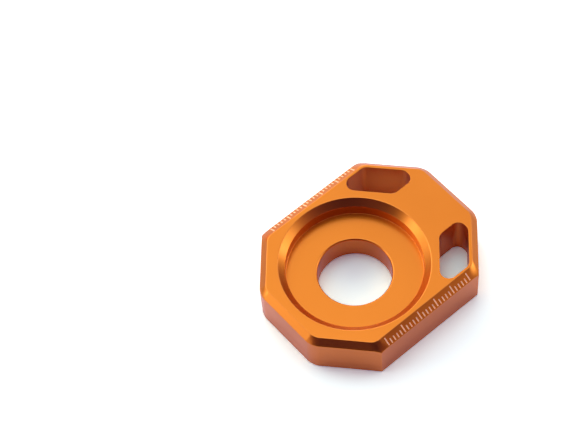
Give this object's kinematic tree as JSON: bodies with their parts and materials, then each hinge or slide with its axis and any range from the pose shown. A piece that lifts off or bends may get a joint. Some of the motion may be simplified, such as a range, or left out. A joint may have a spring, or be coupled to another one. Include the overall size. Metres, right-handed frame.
{
  "type": "motorcycle chain adjuster block",
  "caption": "Flat eight-sided axle block with a bore, a round nut recess, slanted windows and a graduated scale along each long side.",
  "frame": {"origin": "centre of the axle bore at the flat back face", "axes": "+Z along the bore, out of the nut recess; +X along the scales towards the end with the windows; Y across the block"},
  "size_m": [0.0517, 0.042, 0.011],
  "materials": {
    "anodised_orange": "orange anodised, satin"
  },
  "bodies": {
    "root": {"adjuster_block": "anodised_orange"}
  },
  "joints": []
}
